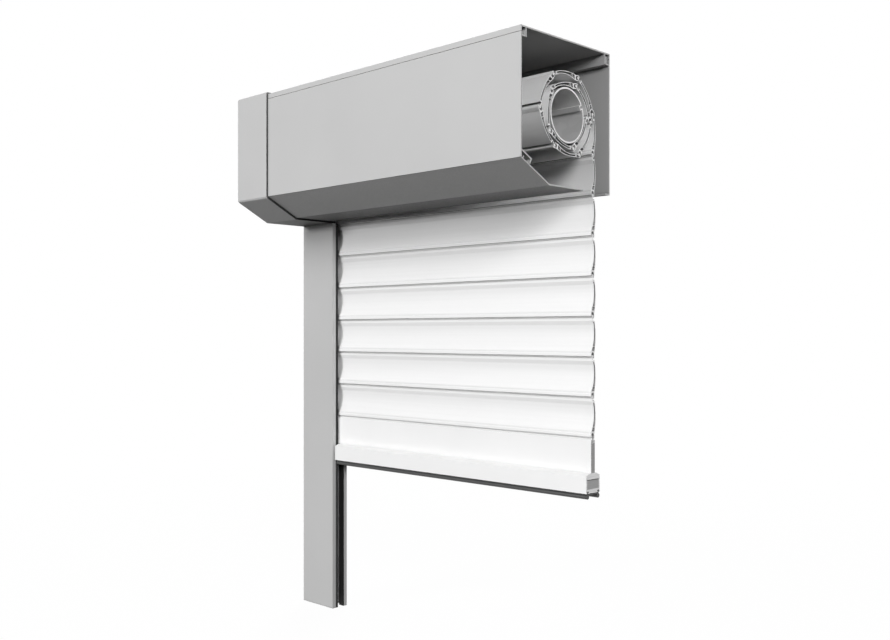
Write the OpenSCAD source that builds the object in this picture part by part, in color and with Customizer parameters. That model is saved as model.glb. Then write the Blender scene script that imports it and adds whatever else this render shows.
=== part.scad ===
// Exterior roller shutter, cut-away section: box with slanted underside, left end cap,
// left guide rail, rolled slat curtain on its tube and bottom bar. Millimetres, +Z up.
// Origin: middle of the section on the rear (wall) face of the box, at mid height.
// X runs along the width with the cut end at +X, the front of the box looks to -Y.

/* [Section] */
// Overall width of the section from the outside of the end cap to the cut
section_w = 406; // [300:1:600]
// Width of the end cap, and of the guide rail below it
cap_w = 53; // [50:0.5:60]

/* [Box] */
// Outer height of the box panels
box_h = 133; // [131:0.5:138]
// Outer depth of the box panels, front to wall
box_d = 133; // [131:0.5:138]
// Height of the upright front face above the slanted underside
front_h = 112.9; // [108:0.1:116]
// Depth taken by the slanted underside
slant_d = 39.8; // [34:0.1:44]
// Sheet thickness of the box panels
sheet_t = 1.3; // [1:0.1:1.6]
// Open slot for the curtain, from the wall face to the rear edge of the underside
outlet_d = 42.2; // [40:0.1:45]
// Height of the lid lips seen on the front and on the wall face
lid_lip_h = 5.1; // [4:0.1:6.5]
// Height of the inner leg of the lid at the front
lid_leg_front_h = 9.3; // [8:0.1:11]
// Height of the inner leg of the lid at the rear
lid_leg_rear_h = 11.2; // [9:0.1:13]
// Depth of the hooked channel along the front edge of the lid
lid_hook_front_d = 8; // [7:0.1:9]
// Depth of the hooked channel along the rear edge of the lid
lid_hook_rear_d = 8.3; // [7:0.1:9]
// Open seam between panels that hook into each other
seam_gap = 0.4; // [0.3:0.05:0.6]
// Turned-in flange along the lower edge of the rear panel
rear_flange_d = 7; // [5:0.1:9]
// Spacing of the front panel's inner flange from the slanted underside
clip_gap = 4.6; // [4:0.1:5.5]
// Length of the front panel's inner flange along the slant
clip_len = 13.5; // [12:0.1:15]
// Height of the lip at the front end of the slanted underside
clip_lip_h = 3.4; // [2.5:0.1:3.8]
// Distance of that lip from the front end of the slanted underside
clip_lip_x = 2; // [1.8:0.1:3]

/* [End cap] */
// How far the end cap stands proud of the box panels
cap_proud = 2; // [1.5:0.1:3]
// Thickness of the end wall of the cap
cap_wall = 3; // [2.5:0.1:4]
// Edge chamfer of the end cap
cap_chamfer = 1.2; // [0.5:0.1:1.4]

/* [Curtain] */
// Distance of the slat hinges from the wall face
curtain_back = 27.6; // [27.4:0.1:28]
// Distance from one slat hinge to the next
slat_pitch = 37.2; // [37:0.1:37.4]
// Height of the first hinge below the mid height of the box
first_hinge_drop = 68.9; // [67:0.1:70]
// Length of slat that runs inside the guide rail
slat_in_rail = 22; // [15:0.5:23]
// Radius of the outer, convex slat face
slat_r_out = 57; // [56:0.5:60]
// Height of the convex face over the hinge line
slat_bulge = 4.7; // [4.5:0.1:4.8]
// Radius of the inner, hollow slat face
slat_r_in = 36; // [35.5:0.1:37]
// Height of the hollow face over the hinge line
slat_hollow = 1.9; // [1.8:0.1:2]
// Height above the lower hinge at which the face is most hollow
slat_hollow_z = 21.5; // [21:0.1:22]
// How far the lower chamber reaches to the front of the hinge line
slat_nose = 2.2; // [2:0.1:2.3]
// Wall thickness of the slats
slat_wall = 0.6; // [0.5:0.05:0.9]
// Radius of the bead along the upper edge of a slat
bead_r = 1.4; // [1.3:0.05:1.45]
// Play between a bead and the pocket that holds it
hook_play = 0.35; // [0.3:0.05:0.4]
// Wall round the pocket
hook_wall = 0.85; // [0.75:0.05:0.9]
// Light slot between hanging slats, closed when they rest on each other
light_slot = 1.7; // [1.5:0.1:1.8]
// Thickness of the neck below a bead
neck_t = 0.8; // [0.7:0.05:0.9]
// Extra play in the one pocket between roll and hanging curtain
lead_play = 0.65; // [0.6:0.05:0.7]

/* [Roll] */
// Outer diameter of the winding tube
tube_d = 50; // [48:0.1:50]
// Wall of the winding tube
tube_wall = 1.5; // [1.2:0.1:2]
// Radius at which the curtain leaves the roll, at its hinges
roll_r_out = 39.8; // [39.6:0.05:40]
// Angle at which the last hanging hinge lies on the roll
roll_start_a = 9.5; // [9:0.1:10]
// Half of the turn over which the curtain stays on the roll's tangent
roll_half_turn_a = 15; // [14:0.5:15]
// Width of the groove along the tube
groove_w = 2.6; // [2.2:0.1:3.2]
// Depth of the groove along the tube
groove_h = 3.2; // [2.8:0.1:3.5]
// Angle of the groove round the tube
groove_a = 26; // [20:1:30]
// Width of a connector that ties the top slat to the tube
link_w = 20; // [15:1:30]
// Thickness of a connector
link_t = 1.2; // [1:0.1:1.4]

/* [Bearing] */
// Diameter of the pin at the end of the tube
pin_d = 12; // [10:0.5:14]
// Outer diameter of the ball bearing
bearing_d = 28; // [26:0.5:30]
// Width of the ball bearing
bearing_w = 8; // [7:0.5:9]
// Radial running fit of the pin in the bearing
pin_fit = 0.05; // [0.02:0.01:0.1]
// Side of the square bearing bracket
bracket_w = 84; // [70:1:92]
// Thickness of the bearing bracket
bracket_t = 3; // [2.5:0.1:4]
// Shank diameter of the bracket screws
screw_d = 4; // [3:0.1:5]
// Head diameter of the bracket screws
screw_head_d = 8; // [7:0.1:9]
// Distance of the bracket screws from the bracket edge
screw_edge = 10; // [8:0.5:12]

/* [Guide rail] */
// Depth of the guide rail, front to back
rail_d = 22; // [21.5:0.1:23]
// Length of the guide rail below its inlet
rail_l = 446; // [400:1:600]
// Wall of the guide rail
rail_wall = 1.6; // [1.4:0.1:1.8]
// Depth of the slot in which the slats run
slot_w = 26; // [25:0.5:28]
// Distance from the slat hinges to the front of the rail
rail_front = 11.4; // [11.2:0.1:11.6]
// Return of the rail beside the slot, front
lip_front = 4.8; // [4.5:0.1:5]
// Return of the rail beside the slot, rear
lip_rear = 4.3; // [4:0.1:4.5]
// Free run between slats and rail inlays
inlay_gap = 0.5; // [0.35:0.05:0.6]
// Length of the inlays along the depth of the slot
inlay_w = 6; // [4:0.5:8]
// Thickness of the inlet plate between cap and rail
inlet_t = 2.5; // [2:0.1:3]
// Length of the inlet plug inside the rail
inlet_plug_l = 20; // [10:1:40]
// Clearance of the inlet plug in the rail chamber
inlet_fit = 0.2; // [0.1:0.05:0.3]

/* [Bottom bar] */
// Thickness of the bar's web
web_t = 5.8; // [5.5:0.1:6]
// Thickness of the two lips along the top of the web
web_lip_t = 0.6; // [0.5:0.05:0.7]
// Height of the lips over the lower side of the light slot
web_lip_h = 1.6; // [1:0.1:1.7]
// Depth of the channel between the lips, below the light slot
web_channel = 1.6; // [1:0.1:3]
// Height from the last hinge to the top of the thick foot
web_h = 33.2; // [28:0.1:40]
// Thickness of the foot of the bar
foot_d = 21.5; // [20:0.1:22.5]
// Height of the foot of the bar
foot_h = 18.4; // [17.5:0.1:20]
// Height of the sloped shoulders of the foot
shoulder_h = 2.4; // [1.5:0.1:3]
// Wall of the foot
foot_wall = 1.5; // [1.2:0.1:1.8]
// Thickness of the foot's base, in which the seal is held
foot_base = 3.7; // [3.4:0.1:4]
// Gap between the foot of the bar and the rail
foot_gap = 3; // [2:0.1:5]
// Height of the weight that fills the foot
weight_h = 8.2; // [7:0.1:8.6]
// Free space above the weight
weight_gap = 0.8; // [0.4:0.1:1]
// Radius of the beads of the bottom seal
seal_r = 2.2; // [2:0.1:2.4]
// Height of the bottom seal below the foot
seal_h = 5.3; // [5:0.1:6]
// Thickness of the seal strip and of its necks
seal_t = 1.6; // [1.2:0.1:2]
// Width of the heads that hold the seal in the foot
seal_head_w = 3.2; // [2.8:0.1:3.6]

/* [Hidden] */
$fn = 72;
eps = 0.01;
far = 400;
x_cut = section_w / 2;
x_cap = -section_w / 2;
x_box = x_cap + cap_w;
x_panel = x_cap + cap_wall;
x_slat = x_box - slat_in_rail;
front_y = -box_d;
top_z = box_h / 2;
low_z = -box_h / 2;
bend_z = top_z - front_h;
slant_y = front_y + slant_d;
slant_a = atan2(bend_z - low_z, slant_d);
curtain_y = -curtain_back;
pocket_r = bead_r + hook_play;
hook_r = pocket_r + hook_wall;
// a bead can lift a little further than the light slot closes
lift_spare = 0.3;
hook_lift = light_slot + lift_spare;
shoulder = hook_r + light_slot;
// hinge heights: 0 is the hinge under the box, minus counts up, plus counts down
function hinge_z(i) = -first_hinge_drop - i * slat_pitch;
hanging = 6;
lead_z = hinge_z(-2);
// roll axis, placed so that the lead bead stays central in its pocket over the turn
roll_y = curtain_y - roll_r_out * (1 + cos(roll_half_turn_a)) / 2;
roll_z = lead_z - roll_r_out * sin(roll_start_a);
tube_r = tube_d / 2;
tube_in = tube_r - tube_wall;
// hinge radii of the wound slats from the curtain inwards, each hinge one pitch on
roll_r = [roll_r_out, 39.6, 39.4, 39.8, 34.8, 37.8, 36.4, 31.6, 30.4, 30.8, 30.2, 30.2];
wound = len(roll_r) - 1;
function turn_between(a, b) = acos((a * a + b * b - slat_pitch * slat_pitch) / (2 * a * b));
roll_t = [for (i = 0, t = roll_start_a; i <= wound;
    t = i < wound ? t + turn_between(roll_r[i], roll_r[i + 1]) : t, i = i + 1) t];
function roll_pt(i) = [roll_y + roll_r[i] * cos(roll_t[i]), roll_z + roll_r[i] * sin(roll_t[i])];
// slat mouth, counted from straight down, plus to the hollow side
mouth_rear_a = -16;
mouth_front_a = 95;
mouth_mid_a = 25;
mouth_reach = 6;
lead_mouth_a = 8;
// hollow chambers of a slat, as heights above the lower hinge
chamber_low = 9.4;
nook_low = hook_lift + pocket_r + hook_wall + slat_wall;
nook_top = 8.8;
// root of a slat's neck: a step at its rear, a taper at its front down into the hollow wall
root_z = slat_pitch - shoulder;
root_t = 1;
root_drop = 1;
taper_drop = 5;
function hollow_u(v) = slat_hollow - slat_r_in + sqrt(slat_r_in ^ 2 - (v - slat_hollow_z) ^ 2);
taper_u = hollow_u(root_z - taper_drop) + slat_wall / 2;
// end of the roll
plug_t = 3;
plug_l = 25;
tube_past_slats = 4;
x_tube = x_slat - tube_past_slats;
x_plug = x_tube - plug_t;
bearing_back = 2;
x_bearing = x_panel + bracket_t + bearing_back;
bearing_groove = 1;
bearing_ring = 3;
boss_t = 3.5;
screw_grip = 2.5;
screw_l = bracket_t + screw_grip;
screw_head_t = 2.4;
ridge_wall = 0.9;
plug_fit = 0.2;
link_x = [0.35, 0.8];
link_start_a = -3;
link_hook_from_a = -35;
link_hook_to_a = 100;
tube_len = x_cut - x_tube;
// rail and inlays
rail_y = curtain_y - rail_front;
rail_back_y = rail_y + rail_d;
rail_x = x_box;
cap_low_z = low_z - cap_proud;
rail_z = cap_low_z - inlet_t;
slot_front_y = rail_y + lip_front;
slot_rear_y = rail_back_y - lip_rear;
slat_front_y = curtain_y - hook_r;
slat_rear_y = curtain_y + slat_bulge;
inlay_clip = 2.4;
// bottom bar
bar_z = hinge_z(hanging);
web_back = 0.5;
web_y = curtain_y + web_back;
foot_y = web_y;
foot_top_z = bar_z - web_h;
foot_low_z = foot_top_z - foot_h;
foot_plug_t = 2;
x_foot = x_box + foot_gap + foot_plug_t;
foot_plug_l = 10;
foot_neck_spare = 4.4;
foot_neck_w = web_t + foot_neck_spare;
seal_inset = 2.5;
seal_root = 2;
seal_head_t = 1;

// helpers

// extrudes a drawing in the Y-Z plane along X, from x0 to x1
module along_x(x0, x1) {
    translate([x0, 0, 0])
        rotate([90, 0, 90])
            linear_extrude(x1 - x0)
                children();
}

// rectangle from one corner to the opposite corner
module rect(a, b) {
    translate([min(a[0], b[0]), min(a[1], b[1])])
        square([abs(b[0] - a[0]), abs(b[1] - a[1])]);
}

// drawing frame along the slanted underside: x along the slant, y into the box
module on_slant() {
    translate([front_y, bend_z])
        rotate(-slant_a)
            children();
}

// outline of the box panels
module box_outline() {
    polygon([[0, top_z], [front_y, top_z], [front_y, bend_z], [slant_y, low_z], [0, low_z]]);
}

// box panels

module lid_2d() {
    rect([front_y, top_z - sheet_t], [0, top_z]);
    rect([front_y, top_z - lid_lip_h], [front_y + sheet_t, top_z]);
    rect([-sheet_t, top_z - lid_lip_h], [0, top_z]);
    rect([front_y + lid_hook_front_d - sheet_t, top_z - lid_leg_front_h],
        [front_y + lid_hook_front_d, top_z]);
    rect([-lid_hook_rear_d, top_z - lid_leg_rear_h], [-lid_hook_rear_d + sheet_t, top_z]);
}

module lid() {
    color("Silver")
        along_x(x_panel, x_cut)
            lid_2d();
}

// edge of a panel that hooks into the lid: flange and upstand, drawn for the front
module hook_edge(depth, leg_h) {
    flange_z = top_z - leg_h;
    upstand_y = depth - 2 * sheet_t - seam_gap;
    rect([sheet_t - eps, flange_z], [upstand_y + sheet_t, flange_z + sheet_t]);
    rect([upstand_y, flange_z], [upstand_y + sheet_t, top_z - lid_lip_h + sheet_t]);
}

module front_panel_2d() {
    rect([front_y, bend_z + seam_gap], [front_y + sheet_t, top_z - lid_lip_h - seam_gap]);
    translate([front_y, 0])
        hook_edge(lid_hook_front_d, lid_leg_front_h);
    intersection() {
        on_slant()
            rect([-clip_len, sheet_t + clip_gap], [clip_len, 2 * sheet_t + clip_gap]);
        rect([front_y + sheet_t / 2, low_z], [0, top_z]);
    }
    on_slant()
        rect([clip_len - sheet_t, sheet_t], [clip_len, 2 * sheet_t + clip_gap]);
}

module front_panel() {
    color("LightGray")
        along_x(x_panel, x_cut)
            front_panel_2d();
}

module inspection_panel_2d() {
    bend = sheet_t * tan(slant_a / 2);
    on_slant()
        rect([clip_lip_x, eps], [clip_lip_x + sheet_t, clip_lip_h]);
    polygon([[front_y, bend_z], [slant_y, low_z], [-outlet_d, low_z],
        [-outlet_d, low_z + sheet_t], [slant_y + bend, low_z + sheet_t],
        [front_y + sheet_t * sin(slant_a), bend_z + sheet_t * cos(slant_a) - seam_gap]]);
}

module inspection_panel() {
    color("Gray")
        along_x(x_panel, x_cut)
            difference() {
                inspection_panel_2d();
                rect([front_y - eps, bend_z], [front_y + sheet_t + seam_gap, top_z]);
            }
}

module rear_panel_2d() {
    rect([-sheet_t, low_z], [0, top_z - lid_lip_h - seam_gap]);
    rect([-rear_flange_d, low_z], [0, low_z + sheet_t]);
    mirror([1, 0])
        hook_edge(lid_hook_rear_d, lid_leg_rear_h);
}

module rear_panel() {
    color("DarkGray")
        along_x(x_panel, x_cut)
            rear_panel_2d();
}

// end cap

// outline of the cap, with its edges chamfered by c
module cap_outline(c) {
    bend_drop = cap_proud * tan((90 - slant_a) / 2);
    bend_back = cap_proud * tan(slant_a / 2);
    f = front_y - cap_proud;
    t = top_z + cap_proud;
    polygon([[0, t], [f + c, t], [f, t - c], [f, bend_z - bend_drop + c],
        [f + c * cos(slant_a), bend_z - bend_drop - c * sin(slant_a)],
        [slant_y - bend_back, cap_low_z], [0, cap_low_z]]);
}

module screw_spots() {
    for (sy = [-1, 1])
        for (sz = [-1, 1])
            translate([0, roll_y + sy * (bracket_w / 2 - screw_edge),
                roll_z + sz * (bracket_w / 2 - screw_edge)])
                rotate([0, 90, 0])
                    children();
}

module curtain_pass(z0, z1) {
    translate([x_box - slot_w - rail_wall, slot_front_y, z0])
        cube([slot_w + rail_wall + eps, slot_rear_y - slot_front_y, z1 - z0]);
}

module end_cap() {
    color("LightGray")
        difference() {
            union() {
                along_x(x_cap, x_panel)
                    cap_outline(cap_chamfer);
                along_x(x_panel - eps, x_box)
                    difference() {
                        cap_outline(cap_chamfer);
                        box_outline();
                    }
            }
            translate([x_panel - screw_l + bracket_t, 0, 0])
                screw_spots()
                    cylinder(d = screw_d, h = screw_l);
            curtain_pass(cap_low_z - 1, low_z + 1);
        }
}

// bearing at the left end of the roll

module bearing_bracket() {
    boss_r = bearing_d / 2 + boss_t;
    color("DimGray")
        difference() {
            union() {
                translate([x_panel, roll_y - bracket_w / 2, roll_z - bracket_w / 2])
                    cube([bracket_t, bracket_w, bracket_w]);
                translate([x_panel, roll_y, roll_z])
                    rotate([0, 90, 0])
                        cylinder(r = boss_r, h = x_bearing + bearing_w - x_panel);
            }
            translate([x_bearing, roll_y, roll_z])
                rotate([0, 90, 0])
                    cylinder(d = bearing_d, h = bearing_w + 1);
            translate([x_panel - 1, roll_y, roll_z])
                rotate([0, 90, 0])
                    cylinder(d = bearing_d - 2 * bearing_ring, h = bearing_w + bracket_t);
            translate([x_panel - 1, 0, 0])
                screw_spots()
                    cylinder(d = screw_d, h = bracket_t + 2);
        }
}

module bracket_screws() {
    color("Gainsboro")
        translate([x_panel + bracket_t, 0, 0])
            screw_spots() {
                translate([0, 0, -screw_l])
                    cylinder(d = screw_d, h = screw_l);
                difference() {
                    cylinder(d = screw_head_d, h = screw_head_t);
                    translate([0, 0, screw_head_t / 2])
                        cylinder(d = screw_d, h = screw_head_t, $fn = 6);
                }
            }
}

module ball_bearing() {
    mid_r = (bearing_d / 2 + pin_d / 2) / 2;
    color("LightSteelBlue")
        translate([x_bearing, roll_y, roll_z])
            rotate([0, 90, 0])
                difference() {
                    cylinder(d = bearing_d, h = bearing_w);
                    translate([0, 0, -1])
                        cylinder(d = pin_d + 2 * pin_fit, h = bearing_w + 2);
                    for (z = [-1, bearing_w - bearing_groove])
                        translate([0, 0, z])
                            difference() {
                                cylinder(r = mid_r + bearing_groove, h = bearing_groove + 1);
                                translate([0, 0, -1])
                                    cylinder(r = mid_r - bearing_groove,
                                        h = bearing_groove + 3);
                            }
                }
}

// guide rail

module rail_2d() {
    x_in = x_cap + rail_wall;
    x_wall = rail_x - slot_w;
    y_in = rail_y + rail_wall;
    y_out = rail_back_y - rail_wall;
    difference() {
        rect([x_cap, rail_y], [rail_x, rail_back_y]);
        rect([x_in, y_in], [x_wall - rail_wall, y_out]);
        rect([x_wall, y_in], [rail_x - rail_wall, y_out]);
        rect([x_wall, slot_front_y], [rail_x + 1, slot_rear_y]);
    }
}

module guide_rail() {
    color("LightGray")
        translate([0, 0, rail_z - rail_l])
            linear_extrude(rail_l)
                rail_2d();
}

// inlay clipped behind a return of the rail, from its root to the face at the slats
module inlay_2d(root_y, lip_y, face_y) {
    x_lip = rail_x - rail_wall;
    rect([x_lip - inlay_clip, root_y], [x_lip, face_y]);
    rect([x_lip - inlay_w, lip_y], [rail_x - eps, face_y]);
}

module inlay_front() {
    color("Black")
        translate([0, 0, rail_z - rail_l])
            linear_extrude(rail_l)
                inlay_2d(rail_y + rail_wall, slot_front_y, slat_front_y - inlay_gap);
}

module inlay_rear() {
    color("Black")
        translate([0, 0, rail_z - rail_l])
            linear_extrude(rail_l)
                inlay_2d(rail_back_y - rail_wall, slot_rear_y, slat_rear_y + inlay_gap);
}

module inlet_plate() {
    x_in = x_cap + rail_wall + inlet_fit;
    x_out = rail_x - slot_w - rail_wall - inlet_fit;
    y_in = rail_y + rail_wall + inlet_fit;
    y_out = rail_back_y - rail_wall - inlet_fit;
    color("Silver")
        difference() {
            union() {
                translate([x_cap, rail_y, rail_z])
                    cube([cap_w, rail_d, inlet_t]);
                translate([x_in, y_in, rail_z - inlet_plug_l])
                    cube([x_out - x_in, y_out - y_in, inlet_plug_l + eps]);
            }
            curtain_pass(rail_z - 1, cap_low_z + 1);
        }
}

// roll

module tube_2d() {
    ridge_r = tube_r - groove_h - ridge_wall;
    difference() {
        union() {
            difference() {
                circle(tube_r);
                circle(tube_in);
            }
            rotate(groove_a)
                rect([ridge_r, -groove_w / 2 - ridge_wall],
                    [tube_in + tube_wall / 2, groove_w / 2 + ridge_wall]);
        }
        rotate(groove_a)
            rect([tube_r - groove_h, -groove_w / 2], [tube_r + 1, groove_w / 2]);
    }
}

module on_roll() {
    translate([roll_y, roll_z])
        children();
}

module winding_tube() {
    color("WhiteSmoke")
        along_x(x_tube, x_cut)
            on_roll()
                tube_2d();
}

module tube_plug() {
    ridge_r = tube_r - groove_h - ridge_wall - plug_fit;
    ridge_w = groove_w + 2 * ridge_wall + 2 * plug_fit;
    color("SlateGray") {
        along_x(x_plug, x_tube)
            on_roll()
                circle(tube_r);
        along_x(x_tube - eps, x_tube + plug_l)
            on_roll()
                difference() {
                    circle(tube_in);
                    circle(tube_in - plug_t);
                    rotate(groove_a)
                        rect([ridge_r, -ridge_w / 2], [tube_r, ridge_w / 2]);
                }
        along_x(x_bearing, x_plug + eps)
            on_roll()
                circle(d = pin_d);
    }
}

// strip from the groove of the tube to the bead of the innermost slat
module link_2d() {
    top_t = roll_t[wound] - 360 * floor(roll_t[wound] / 360 + 0.5);
    top_r = roll_r[wound];
    strip_r = tube_r + link_t;
    difference() {
        union() {
            intersection() {
                difference() {
                    circle(strip_r);
                    circle(tube_r);
                }
                polygon([[0, 0],
                    2 * tube_r * [cos(top_t + link_start_a), sin(top_t + link_start_a)],
                    2 * tube_r * [cos(groove_a), sin(groove_a)]]);
            }
            rotate(groove_a)
                rect([tube_r - groove_h + plug_fit, -groove_w / 2 + plug_fit],
                    [strip_r, groove_w / 2 - plug_fit]);
            rotate(top_t)
                rect([tube_r - 1, -link_t], [top_r - pocket_r, link_t]);
            translate(top_r * [cos(top_t), sin(top_t)])
                rotate(top_t + 180)
                    intersection() {
                        circle(pocket_r + hook_wall);
                        polygon([[0, 0],
                            far * [cos(link_hook_from_a), -sin(link_hook_from_a)],
                            far * [1, 0],
                            far * [cos(link_hook_to_a / 2), -sin(link_hook_to_a / 2)],
                            far * [cos(link_hook_to_a), -sin(link_hook_to_a)]]);
                    }
        }
        translate(top_r * [cos(top_t), sin(top_t)])
            circle(pocket_r);
        difference() {
            circle(tube_r);
            rotate(groove_a)
                rect([0, -groove_w / 2 + plug_fit], [far, groove_w / 2 - plug_fit]);
        }
    }
}

module tube_links() {
    color("Silver")
        for (s = link_x)
            along_x(x_tube + s * tube_len - link_w / 2, x_tube + s * tube_len + link_w / 2)
                on_roll()
                    link_2d();
}

// slats

module stadium(r, h) {
    circle(r);
    translate([0, h])
        circle(r);
    rect([-r, 0], [r, h]);
}

// bead, neck and root of the neck along the upper edge of a slat
module slat_top_2d() {
    translate([0, slat_pitch])
        circle(bead_r);
    polygon([[-neck_t / 2, slat_pitch], [neck_t / 2, slat_pitch], [neck_t / 2, root_z],
        [root_t, root_z], [root_t, root_z - root_drop], [taper_u, root_z - taper_drop],
        [-neck_t / 2, root_z]]);
}

function mouth_dir(a) = mouth_reach * [-sin(a), -cos(a)];

// section of a slat without its bead: lower hinge at the origin, upper hinge one pitch above it,
// extra widens the pocket
module slat_2d(extra) {
    mouth_low = extra > 0 ? mouth_rear_a - lead_mouth_a : mouth_rear_a;
    mid = slat_pitch / 2;
    out_c = [slat_bulge - slat_r_out, mid];
    in_c = [slat_hollow - slat_r_in, slat_hollow_z];
    chamber_top = slat_pitch - shoulder - 2 * slat_wall;
    difference() {
        union() {
            difference() {
                intersection() {
                    translate(out_c)
                        circle(slat_r_out);
                    rect([-slat_nose, 0], [slat_r_out, slat_pitch]);
                }
                translate(in_c)
                    circle(slat_r_in);
                translate([0, slat_pitch])
                    circle(shoulder);
            }
            stadium(hook_r + extra, hook_lift);
        }
        stadium(pocket_r + extra, hook_lift);
        polygon([[0, 0], mouth_dir(mouth_low), mouth_dir(mouth_mid_a),
            mouth_dir((mouth_mid_a + mouth_front_a) / 2), mouth_dir(mouth_front_a)]);
        difference() {
            translate(out_c)
                circle(slat_r_out - slat_wall);
            translate(in_c)
                circle(slat_r_in + slat_wall);
            rect([-far, -far], [far, nook_low]);
            rect([-far, nook_top], [far, chamber_low]);
            rect([-far, chamber_top], [far, far]);
            rect([-far, -far], [-slat_nose + slat_wall, far]);
        }
    }
}

// drawing of a slat set between two hinge points of the Y-Z plane
module between(low, high) {
    d = high - low;
    along_x(x_slat, x_cut)
        translate(low)
            rotate(atan2(-d[0], d[1]))
                children();
}

module slat_at(low, high, extra = 0) {
    color("White") {
        between(low, high)
            slat_2d(extra);
        between(low, high)
            slat_top_2d();
    }
}

// hanging slats, counted from the bottom bar upwards
module hanging_slat(n) {
    slat_at([curtain_y, hinge_z(hanging - n + 1)], [curtain_y, hinge_z(hanging - n)]);
}

// wound slats, counted from the hanging curtain inwards
module wound_slat(n) {
    slat_at(roll_pt(n - 1), roll_pt(n), n == 1 ? lead_play : 0);
}

// bottom bar

module foot_outline() {
    f = foot_y - foot_d / 2;
    b = foot_y + foot_d / 2;
    polygon([[web_y - foot_neck_w / 2, foot_top_z], [f, foot_top_z - shoulder_h],
        [f, foot_low_z], [b, foot_low_z], [b, foot_top_z - shoulder_h],
        [web_y + foot_neck_w / 2, foot_top_z]]);
}

module foot_chamber() {
    rect([foot_y - foot_d / 2 + foot_wall, foot_low_z + foot_base],
        [foot_y + foot_d / 2 - foot_wall, foot_low_z + foot_base + weight_h + weight_gap]);
}

function seal_y(s) = foot_y + s * (foot_d / 2 - seal_inset);

// neck and head of a seal bead, held in the foot; low is the lower end of the neck
module seal_root_2d(s, low) {
    top = foot_low_z + seal_root;
    rect([seal_y(s) - seal_t / 2, low], [seal_y(s) + seal_t / 2, top]);
    rect([seal_y(s) - seal_head_w / 2, top - seal_head_t], [seal_y(s) + seal_head_w / 2, top]);
}

module bottom_bar() {
    web_f = web_y - web_t / 2;
    web_b = web_y + web_t / 2;
    channel_z = bar_z - shoulder - web_channel;
    lip_z = bar_z - shoulder + web_lip_h;
    color("White") {
        along_x(x_slat, x_cut) {
            translate([curtain_y, bar_z])
                circle(bead_r);
            rect([curtain_y - neck_t / 2, channel_z - web_lip_t], [curtain_y + neck_t / 2, bar_z]);
        }
        along_x(x_slat, x_cut)
            difference() {
                rect([web_f, foot_top_z], [web_b, lip_z]);
                rect([web_f + web_lip_t, channel_z], [web_b - web_lip_t, lip_z + 1]);
            }
        along_x(x_foot, x_cut)
            difference() {
                union() {
                    foot_outline();
                    rect([web_f, foot_top_z - shoulder_h], [web_b, foot_top_z + shoulder_h]);
                }
                foot_chamber();
                for (s = [-1, 1])
                    seal_root_2d(s, foot_low_z - 1);
            }
    }
}

module weight_bar() {
    color("Gray")
        along_x(x_foot + foot_plug_l, x_cut)
            rect([foot_y - foot_d / 2 + foot_wall, foot_low_z + foot_base],
                [foot_y + foot_d / 2 - foot_wall, foot_low_z + foot_base + weight_h]);
}

module bar_end_plug() {
    color("White") {
        along_x(x_foot - foot_plug_t, x_foot)
            foot_outline();
        along_x(x_foot - eps, x_foot + foot_plug_l)
            foot_chamber();
    }
}

module bottom_seal() {
    color("Black")
        along_x(x_foot, x_cut) {
            for (s = [-1, 1]) {
                translate([seal_y(s), foot_low_z - seal_h + seal_r])
                    circle(seal_r);
                seal_root_2d(s, foot_low_z - seal_h + seal_r);
            }
            rect([seal_y(-1), foot_low_z - seal_t], [seal_y(1), foot_low_z]);
        }
}

lid();
front_panel();
inspection_panel();
rear_panel();
end_cap();
bearing_bracket();
bracket_screws();
ball_bearing();
inlet_plate();
guide_rail();
inlay_front();
inlay_rear();
winding_tube();
tube_plug();
tube_links();
hanging_slat(1);  // slat_01
hanging_slat(2);  // slat_02
hanging_slat(3);  // slat_03
hanging_slat(4);  // slat_04
hanging_slat(5);  // slat_05
hanging_slat(6);  // slat_06
hanging_slat(7);  // slat_07
hanging_slat(8);  // slat_08
wound_slat(1);  // slat_09
wound_slat(2);  // slat_10
wound_slat(3);  // slat_11
wound_slat(4);  // slat_12
wound_slat(5);  // slat_13
wound_slat(6);  // slat_14
wound_slat(7);  // slat_15
wound_slat(8);  // slat_16
wound_slat(9);  // slat_17
wound_slat(10);  // slat_18
wound_slat(11);  // slat_19
bottom_bar();
weight_bar();
bar_end_plug();
bottom_seal();
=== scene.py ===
"""Looks of the exterior roller shutter: materials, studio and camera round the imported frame."""

import math
from collections import namedtuple

import bpy
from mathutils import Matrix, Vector


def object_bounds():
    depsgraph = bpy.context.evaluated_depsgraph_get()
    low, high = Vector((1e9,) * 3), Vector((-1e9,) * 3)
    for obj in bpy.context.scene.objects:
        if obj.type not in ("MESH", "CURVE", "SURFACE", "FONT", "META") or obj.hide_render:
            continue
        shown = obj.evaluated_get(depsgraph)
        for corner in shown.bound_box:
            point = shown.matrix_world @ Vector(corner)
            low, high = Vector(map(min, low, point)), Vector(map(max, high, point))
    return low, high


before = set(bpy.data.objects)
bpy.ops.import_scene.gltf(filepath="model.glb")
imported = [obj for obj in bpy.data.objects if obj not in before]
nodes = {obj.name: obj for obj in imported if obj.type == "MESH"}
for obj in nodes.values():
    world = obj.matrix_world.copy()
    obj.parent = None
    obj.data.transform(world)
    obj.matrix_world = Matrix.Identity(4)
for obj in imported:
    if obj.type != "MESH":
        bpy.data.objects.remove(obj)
cad_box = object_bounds()

# Camera, solved from the photograph
IMAGE_W, IMAGE_H = 890, 640
FOCAL_PX = 1015.0
CENTRE_PX = (392.44, 332.35)
CAMERA_AT = (0.7453, -0.8131, -0.1955)
CAMERA_YAW = math.radians(45.78)
SENSOR_W = 36.0

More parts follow.
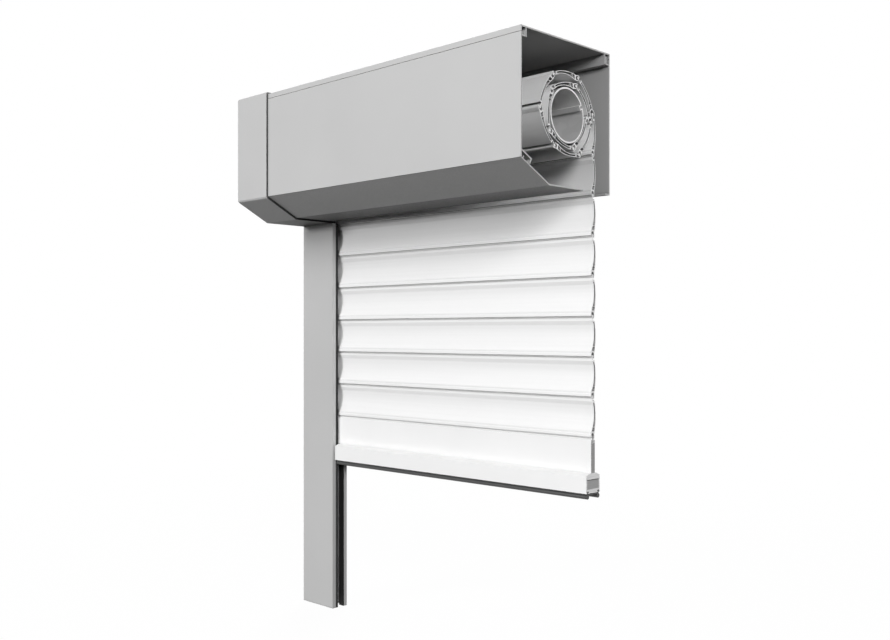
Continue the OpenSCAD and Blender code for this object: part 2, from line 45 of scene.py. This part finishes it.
# Colours, linear
PAINT_GREY = (0.56, 0.56, 0.56)
RAIL_GREY = (0.53, 0.53, 0.53)
SLAT_WHITE = (0.86, 0.86, 0.86)
BAR_WHITE = (0.88, 0.88, 0.88)
BARE_METAL = (0.62, 0.62, 0.62)
BRIGHT_CUT = (0.92, 0.92, 0.92)
DULL_METAL = (0.38, 0.38, 0.38)
ZINC_GREY = (0.60, 0.60, 0.60)
STEEL_GREY = (0.55, 0.55, 0.56)
PLUG_GREY = (0.20, 0.20, 0.21)
INLAY_BLACK = (0.022, 0.022, 0.022)
RUBBER_BLACK = (0.030, 0.030, 0.030)
FLOOR_GREY = (0.07, 0.07, 0.07)
WHITE = (1, 1, 1)

# Finish of paint, plastic and rubber: roughness and gloss
Coat = namedtuple("Coat", "rough gloss")
PAINT = Coat(0.55, 0.04)
BAR_PAINT = Coat(0.45, 0.2)
LACQUER = Coat(0.38, 0.4)
PLASTIC = Coat(0.4, 0.4)
PLUG_PLASTIC = Coat(0.5, 0.4)
INLAY = Coat(0.6, 0.3)
RUBBER = Coat(0.4, 0.6)

# Finish of metal: roughness and metallic share
Metal = namedtuple("Metal", "rough metallic")
ZINC = Metal(0.45, 0.3)
PLATED = Metal(0.4, 0.8)
BEARING = Metal(0.25, 1.0)
SPRING = Metal(0.35, 0.9)
WEIGHT = Metal(0.55, 0.2)

# Wear of a surface: share of tone, roughness less and more than its mean, relief and its depth in metres
Wear = namedtuple("Wear", "tone less more relief depth")
PAINT_WEAR = Wear(tone=0.02, less=0.04, more=0.04, relief=0.12, depth=0.00005)
LACQUER_WEAR = Wear(tone=0.012, less=0.05, more=0.05, relief=0.08, depth=0.00003)
METAL_WEAR = Wear(tone=0.10, less=0.06, more=0.08, relief=0.10, depth=0.00003)
ZINC_WEAR = Wear(tone=0.03, less=0.04, more=0.04, relief=None, depth=None)
PLASTIC_WEAR = Wear(tone=0.03, less=0.06, more=0.06, relief=0.15, depth=0.00004)
INLAY_WEAR = PLASTIC_WEAR._replace(tone=0.4)
RUBBER_WEAR = PLASTIC_WEAR._replace(tone=0.15)
SAW_TONE = 0.12

# Sizes of surface detail, in cycles per metre
PEEL = 700.0
CLOUD = 9.0
MARKS = 54.0
DRAW_LINES = 420.0
SAW_MARKS = 1600.0
GRAIN = 2600.0
CRYSTALS = 110.0

# Stretch of surface detail, below 1 draws it out along that axis
EVEN = (1, 1, 1)
ALONG_X = (0.02, 1, 1)
ALONG_Z = (1, 1, 0.02)
ALONG_SLAT = (0.01, 1, 1)
ALONG_INLAY = (6, 6, 0.3)
ACROSS_CUT = (1, 0.05, 1)

# Octaves of noise, and the part of its range that is used
DETAIL, FINE_DETAIL = 3.0, 2.0
NOISE_BAND = (0.3, 0.7)

# Painted shade from ambient occlusion, reach in metres and share: in seams, in the slats' chambers and
# hinge slots, in sheltered places
SHADE_SAMPLES = 8
SEAM_REACH, SEAM_SHADE = 0.003, 0.8
CHAMBER_REACH, CHAMBER_SHADE = 0.005, 0.6
SLOT_REACH, SLOT_SHADE = 0.002, (1.0, 0.8)
SHELTER_REACH = 0.25
# Painted shade on undersides in three layers and inside the box in one; the seams of the underside and of
# the bar get a smaller share.
UNDERSIDE_SHADE, INSIDE_SHADE = (1.0, 1.0, 0.8), (0.4,)
UNDERSIDE_SEAM_SHADE, BAR_SEAM_SHADE = 0.5, 0.3

# Cut ends face along +X; the bar's foot begins below this height
CUT_FACING = 0.9
FOOT_TOP = -0.3253

# Floor in metres, its white fading in over a span of distance
FLOOR_SIZE = 40.0
FLOOR_DROP = 0.001
FLOOR_ROUGH = 0.9
FLOOR_WHITE_SHARE = 0.97
FLOOR_FADE = (0.5, 1.6)

# Strength of the sky's light from above and below, and the heights between which it rises
SKY_TOP = 0.15
SKY_LOW = 0.02
SKY_RISE = (-0.1, 0.9)

# Lamps: name, place, spot that it points at, width in metres and watts
LAMPS = (
    ("key", (-0.8, -5.2, 2.8), (0, 0, -0.2), 2.5, 66),
    ("front", (-1.5, -5.8, 0.58), (0, 0, -0.2), 0.9, 150),
    ("side", (3.95, -2.85, 1.45), (0.1, 0, -0.1), 1.8, 180),
    ("back", (-3.0, 4.0, 2.5), (0, 0, -0.2), 2.5, 220),
)


# shader helpers

def new_material(name):
    """An empty material and its node tree and surface shader."""
    mat = bpy.data.materials.new(name)
    mat.use_nodes = True
    return mat, mat.node_tree, mat.node_tree.nodes["Principled BSDF"]


def opaque(colour):
    """The colour with an alpha of 1."""
    return (*colour, 1)


def feed(tree, value, socket):
    """Sets a socket to a plain value, or links another socket to it."""
    if isinstance(value, bpy.types.NodeSocket):
        tree.links.new(value, socket)
    else:
        socket.default_value = value


def coords(tree, kind="Object"):
    """Coordinates for a texture, in the object's own metres unless another kind is named."""
    return tree.nodes.new("ShaderNodeTexCoord").outputs[kind]


def along_axis(tree, vector, axis):
    """One of a vector's three numbers."""
    split = tree.nodes.new("ShaderNodeSeparateXYZ")
    tree.links.new(vector, split.inputs["Vector"])
    return split.outputs[axis]


def computed(tree, operation, first, second):
    """The result of a math node on two values."""
    node = tree.nodes.new("ShaderNodeMath")
    node.operation = operation
    feed(tree, first, node.inputs[0])
    feed(tree, second, node.inputs[1])
    return node.outputs["Value"]


def ranged(tree, value, span, low, high):
    """A number that goes from low to high while a value crosses a span."""
    node = tree.nodes.new("ShaderNodeMapRange")
    node.inputs["From Min"].default_value, node.inputs["From Max"].default_value = span
    node.inputs["To Min"].default_value = low
    node.inputs["To Max"].default_value = high
    tree.links.new(value, node.inputs["Value"])
    return node.outputs["Result"]


def mixed(tree, share, first, second, kind="RGBA"):
    """The first of two values at a share of 0 and the second at 1."""
    blend = tree.nodes.new("ShaderNodeMix")
    blend.data_type = kind
    feed(tree, share, blend.inputs["Factor"])
    feed(tree, first, blend.inputs["A"])
    feed(tree, second, blend.inputs["B"])
    return blend.outputs["Result"]


def noise(tree, scale, stretch=EVEN, detail=DETAIL):
    """Noise in the object's own metres, drawn out along an axis by a stretch below 1."""
    mapping = tree.nodes.new("ShaderNodeMapping")
    mapping.inputs["Scale"].default_value = stretch
    texture = tree.nodes.new("ShaderNodeTexNoise")
    texture.inputs["Scale"].default_value = scale
    texture.inputs["Detail"].default_value = detail
    tree.links.new(coords(tree), mapping.inputs["Vector"])
    tree.links.new(mapping.outputs["Vector"], texture.inputs["Vector"])
    return texture.outputs["Fac"]


def tones(tree, factor, colour, spread):
    """A colour that wanders by a share to either side of its tone."""
    ramp = tree.nodes.new("ShaderNodeValToRGB")
    for stop, place, side in zip(ramp.color_ramp.elements, NOISE_BAND, (-1, 1)):
        stop.position = place
        stop.color = opaque([c * (1 + side * spread) for c in colour])
    tree.links.new(factor, ramp.inputs["Fac"])
    return ramp.outputs["Color"]


def worn(tree, shader, height, rough, wear):
    """Roughness and relief that follow the same height between 0 and 1."""
    uneven = ranged(tree, height, NOISE_BAND, rough - wear.less, rough + wear.more)
    tree.links.new(uneven, shader.inputs["Roughness"])
    if wear.relief:
        bump = tree.nodes.new("ShaderNodeBump")
        bump.inputs["Strength"].default_value = wear.relief
        bump.inputs["Distance"].default_value = wear.depth
        tree.links.new(height, bump.inputs["Height"])
        tree.links.new(bump.outputs["Normal"], shader.inputs["Normal"])


def shaded_in_hollows(tree, colour, reach, *shares):
    """The colour darkened by layers of painted shade, one for each share: ambient occlusion in hollows up
    to a reach in metres.
    """
    for share in shares:
        hollows = tree.nodes.new("ShaderNodeAmbientOcclusion")
        hollows.samples = SHADE_SAMPLES
        hollows.inputs["Distance"].default_value = reach
        tree.links.new(colour, hollows.inputs["Color"])
        colour = mixed(tree, share, colour, hollows.outputs["Color"])
    return colour


def cut_mask(tree):
    """1 on the faces of the cut end, 0 elsewhere."""
    normal = tree.nodes.new("ShaderNodeNewGeometry").outputs["True Normal"]
    return computed(tree, "GREATER_THAN", along_axis(tree, normal, "X"), CUT_FACING)


def below_mask(tree, height):
    """1 below a height in the object's own metres, 0 above it."""
    return computed(tree, "LESS_THAN", along_axis(tree, coords(tree), "Z"), height)


def sawn(tree, colour):
    """The tone of a sawn face, with fine marks across it."""
    return tones(tree, noise(tree, SAW_MARKS, ACROSS_CUT), colour, SAW_TONE)


# materials

def powder_coat(name, colour, coat=PAINT, seam_shade=SEAM_SHADE, shelter_shade=(), cut=None, foot_cut=None):
    """Sprayed paint with a fine orange peel, darkened by painted shade in seams and in the given sheltered
    places; cut ends show the sawn metal.
    """
    mat, tree, shader = new_material(name)
    paint = tones(tree, noise(tree, CLOUD), colour, PAINT_WEAR.tone)
    # Painted shade: ambient occlusion darkens the paint in seams and, by the shelter shares, on undersides
    # and inside the box.
    paint = shaded_in_hollows(tree, paint, SEAM_REACH, seam_shade)
    paint = shaded_in_hollows(tree, paint, SHELTER_REACH, *shelter_shade)
    if cut:
        metal = sawn(tree, cut)
        if foot_cut:
            metal = mixed(tree, below_mask(tree, FOOT_TOP), metal, sawn(tree, foot_cut))
        paint = mixed(tree, cut_mask(tree), paint, metal)
    tree.links.new(paint, shader.inputs["Base Color"])
    shader.inputs["Specular IOR Level"].default_value = coat.gloss
    worn(tree, shader, noise(tree, PEEL, detail=FINE_DETAIL), coat.rough, PAINT_WEAR)
    return mat


def slat_lacquer(name, colour, coat, cut):
    """White lacquer over rolled strip, with faint lines along the slat and painted shade in its chambers
    and hinge slots.
    """
    mat, tree, shader = new_material(name)
    lines = noise(tree, DRAW_LINES, ALONG_SLAT)
    paint = tones(tree, lines, colour, LACQUER_WEAR.tone)
    # Painted shade: ambient occlusion darkens the chambers and the hinge slots between slats.
    paint = shaded_in_hollows(tree, paint, CHAMBER_REACH, CHAMBER_SHADE)
    paint = shaded_in_hollows(tree, paint, SLOT_REACH, *SLOT_SHADE)
    paint = mixed(tree, cut_mask(tree), paint, sawn(tree, cut))
    tree.links.new(paint, shader.inputs["Base Color"])
    shader.inputs["Specular IOR Level"].default_value = coat.gloss
    worn(tree, shader, lines, coat.rough, LACQUER_WEAR)
    return mat


def drawn_metal(name, colour, metal, along=ALONG_X):
    """Metal with fine lines along the way it was drawn or ground."""
    mat, tree, shader = new_material(name)
    lines = noise(tree, SAW_MARKS, along)
    tree.links.new(tones(tree, lines, colour, METAL_WEAR.tone), shader.inputs["Base Color"])
    shader.inputs["Metallic"].default_value = metal.metallic
    worn(tree, shader, lines, metal.rough, METAL_WEAR)
    return mat


def zinc_coat(name, colour, metal, cut):
    """Galvanised sheet with flat crystals of slightly different tone."""
    mat, tree, shader = new_material(name)
    cells = tree.nodes.new("ShaderNodeTexVoronoi")
    cells.inputs["Scale"].default_value = CRYSTALS
    split = tree.nodes.new("ShaderNodeSeparateColor")
    tree.links.new(coords(tree), cells.inputs["Vector"])
    tree.links.new(cells.outputs["Color"], split.inputs["Color"])
    crystals = split.outputs["Red"]
    paint = tones(tree, crystals, colour, ZINC_WEAR.tone)
    paint = mixed(tree, cut_mask(tree), paint, sawn(tree, cut))
    tree.links.new(paint, shader.inputs["Base Color"])
    shader.inputs["Metallic"].default_value = metal.metallic
    worn(tree, shader, crystals, metal.rough, ZINC_WEAR)
    return mat


def moulded(name, colour, coat=PLASTIC, wear=PLASTIC_WEAR, along=EVEN):
    """Moulded plastic or rubber with a fine grain and marks drawn out along an axis."""
    mat, tree, shader = new_material(name)
    marks = noise(tree, MARKS, along)
    tree.links.new(tones(tree, marks, colour, wear.tone), shader.inputs["Base Color"])
    shader.inputs["Specular IOR Level"].default_value = coat.gloss
    worn(tree, shader, noise(tree, GRAIN, detail=FINE_DETAIL), coat.rough, wear)
    return mat


def dress(mat, *names):
    """Makes a material the only one of these CAD nodes."""
    for name in names:
        mesh = nodes[name].data
        mesh.materials.clear()
        mesh.materials.append(mat)


def dress_all():
    """Gives every CAD node its material."""
    slats = [name for name in nodes if name.startswith("slat_")]
    # The box, the inspection panel and the cap are copies of one grey paint, with painted shade inside the
    # box and on undersides.
    dress(powder_coat("box_paint", PAINT_GREY, shelter_shade=INSIDE_SHADE, cut=BARE_METAL), "lid", "rear_panel")
    dress(powder_coat("front_paint", PAINT_GREY, cut=BARE_METAL), "front_panel")
    dress(powder_coat("under_paint_shaded", PAINT_GREY, seam_shade=UNDERSIDE_SEAM_SHADE, shelter_shade=UNDERSIDE_SHADE,
                      cut=BARE_METAL), "inspection_panel")
    dress(powder_coat("cap_paint", PAINT_GREY, shelter_shade=UNDERSIDE_SHADE), "end_cap")
    dress(powder_coat("rail_paint", RAIL_GREY), "guide_rail")
    dress(powder_coat("bar_paint", BAR_WHITE, BAR_PAINT, BAR_SEAM_SHADE, cut=DULL_METAL,
                      foot_cut=BRIGHT_CUT), "bottom_bar")
    dress(slat_lacquer("slat_lacquer", SLAT_WHITE, LACQUER, BRIGHT_CUT), *slats)
    dress(zinc_coat("tube_zinc", ZINC_GREY, ZINC, BRIGHT_CUT), "winding_tube")
    dress(drawn_metal("plated_steel", STEEL_GREY, PLATED, ALONG_Z), "bearing_bracket", "bracket_screws")
    dress(drawn_metal("bearing_steel", STEEL_GREY, BEARING), "ball_bearing")
    dress(drawn_metal("spring_steel", STEEL_GREY, SPRING), "tube_links")
    dress(drawn_metal("weight_steel", DULL_METAL, WEIGHT, ACROSS_CUT), "weight_bar")
    dress(moulded("light_plastic", PAINT_GREY), "inlet_plate")
    dress(moulded("white_plastic", BAR_WHITE), "bar_end_plug")
    dress(moulded("plug_plastic", PLUG_GREY, PLUG_PLASTIC), "tube_plug")
    dress(moulded("black_inlay", INLAY_BLACK, INLAY, INLAY_WEAR, ALONG_INLAY), "inlay_front", "inlay_rear")
    dress(moulded("black_rubber", RUBBER_BLACK, RUBBER, RUBBER_WEAR), "bottom_seal")


# studio

def seen_directly(tree):
    """1 for rays from the camera, from gloss and through glass, 0 for light that scatters."""
    path = tree.nodes.new("ShaderNodeLightPath")
    sharp = computed(tree, "MAXIMUM", path.outputs["Is Camera Ray"], path.outputs["Is Glossy Ray"])
    return computed(tree, "MAXIMUM", sharp, path.outputs["Is Transmission Ray"])


def floor_white():
    """White to the eye with a trace of shadow, dim for the light that it throws back."""
    mat, tree, shader = new_material("floor")
    seen = seen_directly(tree)
    shade = mixed(tree, seen, opaque(FLOOR_GREY), opaque(WHITE))
    tree.links.new(shade, shader.inputs["Base Color"])
    shader.inputs["Roughness"].default_value = FLOOR_ROUGH
    shader.inputs["Specular IOR Level"].default_value = 0.0
    distance = tree.nodes.new("ShaderNodeVectorMath")
    distance.operation = "LENGTH"
    tree.links.new(coords(tree), distance.inputs[0])
    share = ranged(tree, distance.outputs["Value"], FLOOR_FADE, FLOOR_WHITE_SHARE, 1.0)
    glow = tree.nodes.new("ShaderNodeEmission")
    blend = tree.nodes.new("ShaderNodeMixShader")
    tree.links.new(computed(tree, "MULTIPLY", seen, share), blend.inputs["Fac"])
    tree.links.new(shader.outputs["BSDF"], blend.inputs[1])
    tree.links.new(glow.outputs["Emission"], blend.inputs[2])
    tree.links.new(blend.outputs["Shader"], tree.nodes["Material Output"].inputs["Surface"])
    return mat


def floor():
    """A plain pale floor just under the rail's foot."""
    low = cad_box[0][2] - FLOOR_DROP
    half = FLOOR_SIZE / 2
    mesh = bpy.data.meshes.new("floor")
    mesh.from_pydata([(-half, -half, low), (half, -half, low), (half, half, low), (-half, half, low)],
                     [], [(0, 1, 2, 3)])
    mesh.materials.append(floor_white())
    obj = bpy.data.objects.new("floor", mesh)
    bpy.context.scene.collection.objects.link(obj)


def sky():
    """White behind the object; soft light that is brighter from above than from below."""
    world = bpy.data.worlds.new("studio")
    world.use_nodes = True
    bpy.context.scene.world = world
    tree = world.node_tree
    height = along_axis(tree, coords(tree, "Generated"), "Z")
    light = ranged(tree, height, SKY_RISE, SKY_LOW, SKY_TOP)
    strength = mixed(tree, seen_directly(tree), light, 1.0, "FLOAT")
    background = tree.nodes["Background"]
    tree.links.new(strength, background.inputs["Strength"])
    background.inputs["Color"].default_value = opaque(WHITE)


def softbox(name, at, target, size, watts):
    """A square lamp that points at a spot and stays out of the picture."""
    lamp = bpy.data.lights.new(name, "AREA")
    lamp.shape = "SQUARE"
    lamp.size = size
    lamp.energy = watts
    obj = bpy.data.objects.new(name, lamp)
    obj.location = at
    obj.rotation_euler = (Vector(target) - Vector(at)).to_track_quat("-Z", "Y").to_euler()
    obj.visible_camera = False
    bpy.context.scene.collection.objects.link(obj)


def camera():
    """A level camera, shifted so that its centre falls where it did in the photograph."""
    lens = bpy.data.cameras.new("camera")
    lens.sensor_width = SENSOR_W
    lens.lens = FOCAL_PX * SENSOR_W / IMAGE_W
    lens.shift_x = (IMAGE_W / 2 - CENTRE_PX[0]) / IMAGE_W
    lens.shift_y = (CENTRE_PX[1] - IMAGE_H / 2) / IMAGE_W
    obj = bpy.data.objects.new("camera", lens)
    obj.location = CAMERA_AT
    obj.rotation_euler = (math.pi / 2, 0, CAMERA_YAW)
    bpy.context.scene.collection.objects.link(obj)
    bpy.context.scene.camera = obj


dress_all()
camera()
floor()
sky()
for lamp_settings in LAMPS:
    softbox(*lamp_settings)
bpy.context.scene.view_settings.view_transform = "Standard"
